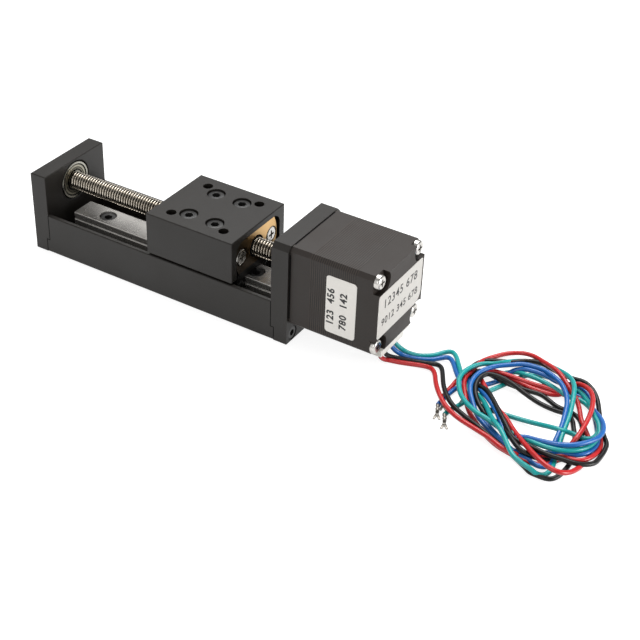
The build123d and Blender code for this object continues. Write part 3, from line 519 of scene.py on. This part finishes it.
# Crimped terminals on the wire ends, each with its heading in degrees
terminal = {"grip": 0.0031, "gripRadius": 0.00068, "gripSides": 20, "gripCuts": 8, "raise": 0.00006,
            "lap": 0.0003, "pinches": (0.3, 0.78), "pinchWidth": 0.00042, "squeeze": 0.3, "flat": 0.95,
            "press": 0.4, "lowest": 0.00004, "sheet": 0.00035, "sheetHeight": 0.0004, "neck": 0.0015,
            "neckLap": 0.0006, "width": 0.001, "arm": 0.0021, "armRoot": 0.00042, "armTip": 0.00034,
            "armLap": 0.0005, "armShift": 0.0002, "spread": 19, "round": 0.00007, "roundSegments": 2,
            "merge": 0.0000001, "smooth": 40,
            "headings": {"red": -62, "black": -70, "blue": -66, "green": -64}}


def makeBarrel(values):
    # Crimped on the stripped end, just ahead of the insulation, and pinched twice
    grip, lift = values["grip"], values["gripRadius"] + values["raise"]
    barrel = settle(addRod((grip / 2 - values["lap"], 0, lift), values["gripRadius"], grip,
                           values["gripSides"], math.pi / 2))
    bpy.ops.object.mode_set(mode="EDIT")
    bpy.ops.mesh.select_all(action="SELECT")
    bpy.ops.mesh.subdivide(number_cuts=values["gripCuts"])
    bpy.ops.object.mode_set(mode="OBJECT")
    for corner in barrel.data.vertices:
        x, y, z = corner.co
        pinch = sum(math.exp(-((x - grip * share) / values["pinchWidth"]) ** 2)
                    for share in values["pinches"])
        corner.co.y = y * (1 - values["squeeze"] * pinch)
        corner.co.z = max(values["lowest"], lift + (z - lift) * (values["flat"] - values["press"] * pinch))
    return barrel


def makeFork(values):
    # A flat neck with two arms, from one sheet
    fork = addPlane()
    half, reach = values["width"] / 2, values["grip"] + values["neck"] - values["lap"]
    neckStart, level = values["grip"] - values["neckLap"], values["sheetHeight"]
    placeCorners(fork, 0, [(neckStart, -half, level), (reach, -half, level), (neckStart, half, level),
                           (reach, half, level)])
    for side in (-1, 1):
        armStart = len(fork.data.vertices)
        bpy.ops.object.mode_set(mode="EDIT")
        bpy.ops.mesh.select_all(action="DESELECT")
        bpy.ops.mesh.primitive_plane_add(size=1, location=(0, 0, 0))
        bpy.ops.object.mode_set(mode="OBJECT")
        lean = math.radians(values["spread"]) * side
        outline = [(0, -values["armRoot"]), (values["arm"], -values["armTip"]), (0, values["armRoot"]),
                   (values["arm"], values["armTip"])]
        placeCorners(fork, armStart, [(reach - values["armLap"] + x * math.cos(lean) - y * math.sin(lean),
                                       side * values["armShift"] + x * math.sin(lean) + y * math.cos(lean),
                                       level) for x, y in outline])
    thick = fork.modifiers.new("thick", "SOLIDIFY")
    thick.thickness = values["sheet"]
    rounded = fork.modifiers.new("rounded", "BEVEL")
    rounded.width = values["round"]
    rounded.segments = values["roundSegments"]
    applyModifiers(fork)
    return fork


def makeTerminal(name, end, heading, values):
    # Barrel and fork together, turned to the wire's end
    piece = joinPieces(name, [makeBarrel(values), makeFork(values)])
    piece.rotation_euler = (0, 0, math.radians(heading))
    piece.location = (end[0], end[1], 0)
    settle(piece)
    faceOutwards(piece, values["merge"])
    smoothPiece(piece, values["smooth"])
    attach(piece, "root")
    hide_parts("wire_terminals")
    return piece


terminals = {}
for colour, wire in wireObjects.items():
    last = wires[colour]["points"][-1]
    terminals[colour] = makeTerminal("terminal_" + colour, last, terminal["headings"][colour], terminal)
print("terminals crimped on")


# Labels with plain numbers. A row is its text, where it stands across the rows and, on the side label,
# its middle along the row, or on the rear label its size
labels = {
    "thick": 0.00008, "roundSegments": 8, "proud": 0.0001, "ink": 0.00002, "spacing": 1.12,
    "side": {"x": (0.0478, 0.0582), "z": (0.0103, 0.0305), "y": -0.01402, "round": 0.0011,
             "size": 0.0033, "bold": 0.0001,
             "rows": (("123  456", 0.0496, 0.0197), ("780  142", 0.054, 0.0193))},
    "rear": {"y": (-0.014, 0.013), "z": (0.0135, 0.029), "x": 0.06567, "round": 0.0011, "cut": 0.0036,
             "middle": -0.0006, "bold": 0.00002,
             "rows": (("12345 678", 0.0245, 0.0044), ("9012 345 678", 0.0184, 0.0036))},
}


def makeLabel(name, corners, outward, roundings):
    # A sticker: a plane with rounded corners, given the thickness of its film
    piece = addPlane()
    piece.name = name
    placeCorners(piece, 0, corners)
    for place, rounding in zip(corners, roundings):
        for part in (piece.data.vertices, piece.data.edges, piece.data.polygons):
            for item in part:
                item.select = False
        for corner in piece.data.vertices:
            corner.select = (corner.co - Vector(place)).length < 0.000001  # the corner at this place
        bpy.ops.object.mode_set(mode="EDIT")
        bpy.ops.mesh.select_mode(type="VERT")
        bpy.ops.mesh.bevel(offset=rounding, segments=labels["roundSegments"], affect="VERTICES")
        bpy.ops.object.mode_set(mode="OBJECT")
    if piece.data.polygons[0].normal.dot(Vector(outward)) < 0:
        piece.data.flip_normals()
    film = piece.modifiers.new("film", "SOLIDIFY")
    film.thickness = labels["thick"]
    film.offset = 1
    applyModifiers(piece)
    return piece


def makeNumber(name, text, size, place, facing, bold):
    # Facing: the directions along the writing, up the writing and away from the label
    deselectAll()
    bpy.ops.object.text_add(location=(0, 0, 0))
    piece = bpy.context.object
    piece.name = name
    piece.data.body = text
    piece.data.size = size
    piece.data.extrude = labels["ink"]
    piece.data.offset = bold
    piece.data.space_character = labels["spacing"]
    piece.data.align_x = "CENTER"
    piece.data.align_y = "CENTER"
    bpy.ops.object.convert(target="MESH")
    piece = bpy.context.object
    spot = Matrix([Vector(way) for way in facing]).transposed().to_4x4()
    spot.translation = Vector(place)
    piece.matrix_world = spot
    return settle(piece)


def makeLabels(values):
    side, rear = values["side"], values["rear"]
    (left, right), (low, high), y = side["x"], side["z"], side["y"]
    sidePlate = makeLabel("side_label", [(left, y, low), (right, y, low), (left, y, high), (right, y, high)],
                          (0, -1, 0), [side["round"]] * 4)
    (near, far), (low, high), x = rear["y"], rear["z"], rear["x"]
    rearPlate = makeLabel("rear_label", [(x, near, low), (x, far, low), (x, near, high), (x, far, high)],
                          (1, 0, 0), [rear["round"], rear["cut"], rear["round"], rear["round"]])
    for piece in (sidePlate, rearPlate):
        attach(piece, "root")
    numbers = []
    for row, (text, xAt, zAt) in enumerate(side["rows"]):
        numbers.append(makeNumber("side_number_%d" % row, text, side["size"], (xAt, y - values["proud"], zAt),
                                  ((0, 0, 1), (-1, 0, 0), (0, -1, 0)), side["bold"]))
    for row, (text, zAt, size) in enumerate(rear["rows"]):
        numbers.append(makeNumber("rear_number_%d" % row, text, size,
                                  (x + values["proud"], rear["middle"], zAt),
                                  ((0, 1, 0), (0, 0, 1), (1, 0, 0)), rear["bold"]))
    printed = joinPieces("label_numbers", numbers)
    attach(printed, "root")
    return sidePlate, rearPlate, printed


sidePlate, rearPlate, printed = makeLabels(labels)
print("labels stuck on")


# Materials
def setInputs(node, values):
    for name, value in values.items():
        node.inputs[name].default_value = value


def addSocket(group, name, kind, value=None, out=False):
    socket = group.interface.new_socket(name=name, in_out="OUTPUT" if out else "INPUT", socket_type=kind)
    if value is not None:
        socket.default_value = value


# Two sizes of noise on object coordinates: fine grain for the finish, patches for handling
grainValues = {"fine": 3000, "patch": 90, "stretch": (1, 1, 1), "fineDetail": 5, "patchDetail": 3,
               "range": (0.3, 0.7)}


def makeGrainGroup(values):
    group = bpy.data.node_groups.new("metalGrain", "ShaderNodeTree")
    addSocket(group, "Fine", "NodeSocketFloat", values["fine"])
    addSocket(group, "Patch", "NodeSocketFloat", values["patch"])
    addSocket(group, "Stretch", "NodeSocketVector", values["stretch"])
    addSocket(group, "Grain", "NodeSocketFloat", out=True)
    addSocket(group, "Patches", "NodeSocketFloat", out=True)
    links, make = group.links, group.nodes.new
    inputs, outputs = make("NodeGroupInput"), make("NodeGroupOutput")
    where, mapping = make("ShaderNodeTexCoord"), make("ShaderNodeMapping")
    fine, patch = make("ShaderNodeTexNoise"), make("ShaderNodeTexNoise")
    setInputs(fine, {"Detail": values["fineDetail"]})
    setInputs(patch, {"Detail": values["patchDetail"]})
    links.new(where.outputs["Object"], mapping.inputs["Vector"])
    links.new(inputs.outputs["Stretch"], mapping.inputs["Scale"])
    links.new(mapping.outputs["Vector"], fine.inputs["Vector"])
    links.new(where.outputs["Object"], patch.inputs["Vector"])
    links.new(inputs.outputs["Fine"], fine.inputs["Scale"])
    links.new(inputs.outputs["Patch"], patch.inputs["Scale"])
    links.new(fine.outputs["Fac"], outputs.inputs["Grain"])
    links.new(patch.outputs["Fac"], outputs.inputs["Patches"])
    return group


metalGrain = makeGrainGroup(grainValues)


def linearColour(colour):
    # From a screen colour, 0 to 255, to linear light
    return [((c / 255) / 12.92 if c < 11 else ((c / 255 + 0.055) / 1.055) ** 2.4) for c in colour] + [1]


def multiplyTone(tree, first, second):
    tone = tree.nodes.new("ShaderNodeMix")
    tone.data_type = "RGBA"
    tone.blend_type = "MULTIPLY"
    setInputs(tone, {"Factor": 1})
    tree.links.new(first, tone.inputs["A"])
    tree.links.new(second, tone.inputs["B"])
    return tone.outputs["Result"]


def addBands(tree, shade, bands):
    # Fine parallel lines across X, as on stacked sheets. A wave of scale s repeats every 2 pi / (20 s)
    make, links = tree.nodes.new, tree.links
    where, wave, lines = make("ShaderNodeTexCoord"), make("ShaderNodeTexWave"), make("ShaderNodeMapRange")
    wave.bands_direction = "X"
    setInputs(wave, {"Scale": 2 * math.pi / (20 * bands["pitch"]), "Distortion": bands["wander"],
                     "Detail": 1, "Detail Scale": 0.4})
    setInputs(lines, {"To Min": bands["dark"], "To Max": bands["light"]})
    links.new(where.outputs["Object"], wave.inputs["Vector"])
    links.new(wave.outputs["Fac"], lines.inputs["Value"])
    return multiplyTone(tree, shade, lines.outputs["Result"]), wave.outputs["Fac"]


def addPaintedRingShade(tree, shade, rings, centre):
    # Painted shade by distance from the screw's axis, or from a centre beside it, in millimetres: dark thread
    # roots, dark grooves between the rings, a lighter inner bearing ring, and the nut's face painted into
    # shade
    make, links = tree.nodes.new, tree.links
    where, place, reach = make("ShaderNodeTexCoord"), make("ShaderNodeMapping"), make("ShaderNodeVectorMath")
    setInputs(place, {"Scale": (0, 1, 1), "Location": (0, -centre[0] * 0.001,
                                                       -leadScrew["axisHeight"] - centre[1] * 0.001)})
    reach.operation = "LENGTH"
    span, ramp = make("ShaderNodeMapRange"), make("ShaderNodeValToRGB")
    low, high = rings[0][0], rings[-1][0]
    setInputs(span, {"From Min": low / 1000, "From Max": high / 1000})
    stops = ramp.color_ramp.elements
    while len(stops) < len(rings):
        stops.new(0.5)
    for stop, (radius, level) in zip(stops, rings):
        stop.position = (radius - low) / (high - low)
        stop.color = (level, level, level, 1)
    links.new(where.outputs["Object"], place.inputs["Vector"])
    links.new(place.outputs["Vector"], reach.inputs[0])
    links.new(reach.outputs["Value"], span.inputs["Value"])
    links.new(span.outputs["Result"], ramp.inputs["Fac"])
    return multiplyTone(tree, shade, ramp.outputs["Color"])


def makeFinish(name, colour, second, rough, metal=0.0, fine=grainValues["fine"], patch=grainValues["patch"],
               stretch=grainValues["stretch"], bump=0.1, depth=0.00002, specular=0.5,
               spread=grainValues["range"], bands=None, rings=None, centre=(0, 0)):
    material = bpy.data.materials.new(name)
    material.use_nodes = True
    tree = material.node_tree
    make, links = tree.nodes.new, tree.links
    shader = tree.nodes["Principled BSDF"]
    grain = make("ShaderNodeGroup")
    grain.node_tree = metalGrain
    setInputs(grain, {"Fine": fine, "Patch": patch, "Stretch": stretch})
    # The base colour runs between the two colours with the mean of grain and patches
    blend, half, colours = make("ShaderNodeMath"), make("ShaderNodeMath"), make("ShaderNodeValToRGB")
    blend.operation = "ADD"
    half.operation = "MULTIPLY"
    half.inputs[1].default_value = 0.5
    links.new(grain.outputs["Grain"], blend.inputs[0])
    links.new(grain.outputs["Patches"], blend.inputs[1])
    links.new(blend.outputs[0], half.inputs[0])
    for stop, position, tint in zip(colours.color_ramp.elements, spread, (colour, second)):
        stop.position = position
        stop.color = linearColour(tint)
    links.new(half.outputs[0], colours.inputs["Fac"])
    shade, height = colours.outputs["Color"], grain.outputs["Grain"]
    if bands:
        shade, height = addBands(tree, shade, bands)
    if rings:
        shade = addPaintedRingShade(tree, shade, rings, centre)
    links.new(shade, shader.inputs["Base Color"])
    gloss = make("ShaderNodeMapRange")
    low, high = grainValues["range"]
    setInputs(gloss, {"From Min": low, "From Max": high, "To Min": rough[0], "To Max": rough[1]})
    links.new(grain.outputs["Patches"], gloss.inputs["Value"])
    links.new(gloss.outputs["Result"], shader.inputs["Roughness"])
    relief = make("ShaderNodeBump")
    setInputs(relief, {"Strength": bump, "Distance": depth})
    links.new(height, relief.inputs["Height"])
    links.new(relief.outputs["Normal"], shader.inputs["Normal"])
    setInputs(shader, {"Metallic": metal, "Specular IOR Level": specular})
    return material


finishes = {
    "black_anodised": dict(colour=(21, 18, 15), second=(29, 26, 22), rough=(0.42, 0.52), fine=5200, patch=60,
                           bump=0.3, specular=0.36),
    "motor_black": dict(colour=(30, 24, 20), second=(38, 31, 26), rough=(0.5, 0.6), fine=4200, patch=70,
                        bump=0.35, specular=0.38),
    "motor_laminations": dict(colour=(29, 23, 19), second=(37, 30, 25), rough=(0.5, 0.62), fine=2600,
                              bump=0.6, depth=0.00005, spread=(0.35, 0.65), specular=0.38,
                              bands={"pitch": 0.00072, "wander": 1.2, "dark": 0.1, "light": 2.1}),
    "ground_steel": dict(colour=(150, 149, 146), second=(178, 176, 172), rough=(0.3, 0.4), metal=1.0,
                         fine=2400, stretch=(0.02, 1, 1), bump=0.12),
    "rail_steel": dict(colour=(178, 175, 171), second=(198, 195, 190), rough=(0.24, 0.3), metal=0.78,
                       fine=2400, stretch=(0.02, 1, 1), bump=0.03),
    # Painted highlight: near-white, barely metallic, for the glint of light on the rail's edges
    "rail_edge_painted_glint": dict(colour=(226, 222, 215), second=(238, 234, 228), rough=(0.3, 0.4), metal=0.2,
                      fine=2400, stretch=(0.02, 1, 1), bump=0.02),
    # rings: painted shade in the grooves between the bearing rings, and painted light on the shaded inner
    # ring
    "bearing_steel": dict(colour=(150, 148, 138), second=(172, 170, 160), rough=(0.2, 0.28), metal=1.0,
                          fine=2400, bump=0.05,
                          rings=((2.4, 1.0), (3.2, 1.3), (3.35, 0.1), (5.6, 0.05), (5.78, 0.9), (6.15, 1.0),
                                 (6.36, 0.5), (6.5, 0.1))),
    # rings: painted shade in the grooves of the shields
    "shield_steel": dict(colour=(152, 149, 134), second=(170, 166, 150), rough=(0.26, 0.34), metal=1.0,
                         fine=2400, bump=0.05,
                         rings=((3.5, 0.05), (3.7, 0.1), (3.9, 0.75), (4.15, 0.85), (4.3, 0.15), (4.5, 0.15),
                                (4.7, 0.9), (5.1, 0.75), (5.3, 0.08), (5.6, 0.04))),
    # rings: painted shade, the thread roots darker than the crests
    "screw_steel": dict(colour=(190, 181, 167), second=(216, 207, 193), rough=(0.18, 0.26), metal=1.0,
                        fine=1200, bump=0.04,
                        rings=((2.4, 0.04), (2.58, 0.1), (2.74, 0.45), (2.86, 1.0), (3.02, 1.0))),
    "black_screw": dict(colour=(24, 24, 24), second=(38, 37, 36), rough=(0.32, 0.42), fine=3500, bump=0.15),
    "bright_screw": dict(colour=(176, 174, 170), second=(206, 203, 198), rough=(0.22, 0.34), metal=1.0,
                         fine=3000, bump=0.1),
    # centre and rings: painted shade and painted reflection of the dark parts below, darker away from a point
    # above the axis
    "brass_nut": dict(colour=(186, 150, 98), second=(206, 170, 116), rough=(0.3, 0.38), metal=1.0,
                      fine=900, stretch=(1, 0.2, 0.2), bump=0.02,
                      centre=(6, 7), rings=((0, 1.1), (6, 1.0), (9, 0.75), (12, 0.3), (15, 0.1), (24, 0.05))),
    "black_plastic": dict(colour=(20, 20, 20), second=(28, 28, 27), rough=(0.45, 0.55), fine=2800, bump=0.2,
                          specular=0.3),
    "rubber_seal": dict(colour=(18, 17, 16), second=(26, 25, 23), rough=(0.5, 0.6), fine=3000, bump=0.2),
    # Painted shade: near-black, for the shade in the joint gaps and in the mouth of the nut's bore
    "painted_gap_shade": dict(colour=(6, 6, 7), second=(10, 10, 10), rough=(0.8, 0.9), fine=3000, bump=0.05,
                       specular=0.1),
    "copper": dict(colour=(176, 104, 70), second=(196, 124, 84), rough=(0.35, 0.45), metal=1.0),
    "magnet": dict(colour=(120, 120, 122), second=(140, 140, 142), rough=(0.35, 0.45), metal=1.0),
    "rotor_steel": dict(colour=(120, 118, 116), second=(150, 148, 145), rough=(0.35, 0.45), metal=1.0),
    "outlet_white": dict(colour=(214, 211, 204), second=(224, 221, 214), rough=(0.42, 0.5), fine=2500,
                         bump=0.1),
    "wire_red": dict(colour=(169, 15, 18), second=(179, 23, 26), rough=(0.28, 0.36), fine=2200, bump=0.06),
    "wire_black": dict(colour=(8, 8, 8), second=(12, 12, 12), rough=(0.34, 0.42), fine=2200, bump=0.06,
                       specular=0.3),
    "wire_blue": dict(colour=(2, 83, 153), second=(7, 91, 161), rough=(0.28, 0.36), fine=2200, bump=0.06),
    "wire_green": dict(colour=(0, 137, 136), second=(3, 147, 146), rough=(0.28, 0.36), fine=2200, bump=0.06),
    "tinned": dict(colour=(116, 112, 106), second=(140, 136, 129), rough=(0.36, 0.48), metal=0.7, fine=2600,
                   bump=0.1),
    # The same white label film twice: painted lighter on the side label, darker on the rear, for the light on
    # each
    "label_film": dict(colour=(250, 246, 239), second=(253, 250, 244), rough=(0.42, 0.5), fine=1500,
                       bump=0.05, specular=0.4),
    "label_rear": dict(colour=(194, 191, 186), second=(202, 199, 193), rough=(0.42, 0.5), fine=1500,
                       bump=0.05, specular=0.3),
    "label_ink": dict(colour=(30, 30, 31), second=(38, 38, 38), rough=(0.5, 0.6), fine=1500, bump=0.05),
}
materials = {name: makeFinish(name, **values) for name, values in finishes.items()}
slotOfNode = {item["node"]: item.get("material_slot") for item in record.get("subparts", [])}
slotOfNode.update({"guide_rail": "rail_steel", "guide_cap_screws": "black_screw"})


def wear(pieces, finish):
    for piece in pieces:
        piece.data.materials.clear()
        piece.data.materials.append(materials[finish])


for name, piece in nodes.items():
    finish = slotOfNode.get(name) or piece.material_slots[0].material.name.split(".")[0]
    for spot in piece.material_slots:
        spot.material = materials[finish]
    if not len(piece.material_slots):
        piece.data.materials.append(materials[finish])
for colour, wire in wireObjects.items():
    wear([wire], "wire_" + colour)
for pieces, finish in ((terminals.values(), "tinned"), (screwPieces, "screw_steel"),
                       ([sidePlate], "label_film"), ([rearPlate], "label_rear"), ([printed], "label_ink"),
                       ([railGlintStrips], "rail_edge_painted_glint"), (bearingRings, "bearing_steel"),
                       (bearingShields, "shield_steel"), ([gapShadeLines, nutMouthShade], "painted_gap_shade"),
                       ([socketScrews], "black_screw")):
    wear(pieces, finish)
print("finishes on")


# Floor, lamps and backdrop
studio = {"floorSize": 6, "floorCells": 4, "floorDrop": 0.0001, "floorLift": 0.84, "floorColour": 0.38,
          "worldLight": 0.36, "backdropLight": 1.0, "aim": (0, 0, 0.02),
          "topLamp": {"place": (-0.08, 0.35, 0.85), "size": 0.7, "power": 12},
          "sideLamp": {"place": (0.56, 0.06, 0.1), "size": 0.2, "power": 2.1},
          "frontLamp": {"place": (0.05, -1.0, 0.5), "size": 0.7, "power": 4}}


def raysOfKind(tree, first, second):
    # 1 for rays of either kind, 0 for the rest
    ray, seen = tree.nodes.new("ShaderNodeLightPath"), tree.nodes.new("ShaderNodeMath")
    seen.operation = "MAXIMUM"
    tree.links.new(ray.outputs[first], seen.inputs[0])
    tree.links.new(ray.outputs[second], seen.inputs[1])
    return seen.outputs[0]


def makeFloor(values):
    deselectAll()
    bpy.ops.mesh.primitive_grid_add(x_subdivisions=values["floorCells"], y_subdivisions=values["floorCells"],
                                    size=values["floorSize"], location=(0, 0, -values["floorDrop"]))
    floor = bpy.context.object
    floor.name = "studioFloor"
    settle(floor)
    material = bpy.data.materials.new("studioPaper")
    material.use_nodes = True
    tree = material.node_tree
    tree.nodes.clear()
    make, links = tree.nodes.new, tree.links
    out, plain = make("ShaderNodeOutputMaterial"), make("ShaderNodeBsdfDiffuse")
    lift, both, gain = make("ShaderNodeEmission"), make("ShaderNodeAddShader"), make("ShaderNodeMath")
    gain.operation = "MULTIPLY"
    gain.inputs[1].default_value = values["floorLift"]
    setInputs(plain, {"Color": (values["floorColour"],) * 3 + (1,)})
    links.new(raysOfKind(tree, "Is Camera Ray", "Is Glossy Ray"), gain.inputs[0])
    links.new(gain.outputs[0], lift.inputs["Strength"])
    links.new(plain.outputs[0], both.inputs[0])
    links.new(lift.outputs[0], both.inputs[1])
    links.new(both.outputs[0], out.inputs["Surface"])
    floor.data.materials.append(material)


def makeLamp(name, values, aim):
    deselectAll()
    bpy.ops.object.light_add(type="AREA", location=values["place"])
    lamp = bpy.context.object
    lamp.name = name
    lamp.data.size = values["size"]
    lamp.data.energy = values["power"]
    lamp.rotation_euler = (Vector(aim) - Vector(values["place"])).to_track_quat("-Z", "Y").to_euler()


def makeWorld(values):
    world = bpy.data.worlds.new("studioWorld")
    bpy.context.scene.world = world
    world.use_nodes = True
    tree = world.node_tree
    backdrop, strength = tree.nodes["Background"], tree.nodes.new("ShaderNodeMapRange")
    setInputs(strength, {"To Min": values["worldLight"], "To Max": values["backdropLight"]})
    tree.links.new(raysOfKind(tree, "Is Camera Ray", "Is Transmission Ray"), strength.inputs["Value"])
    tree.links.new(strength.outputs["Result"], backdrop.inputs["Strength"])
    setInputs(backdrop, {"Color": (1, 1, 1, 1)})


makeFloor(studio)
makeWorld(studio)
for name in ("topLamp", "sideLamp", "frontLamp"):
    makeLamp(name, studio[name], studio["aim"])
bpy.context.scene.view_settings.view_transform = "Standard"
print("studio lit")
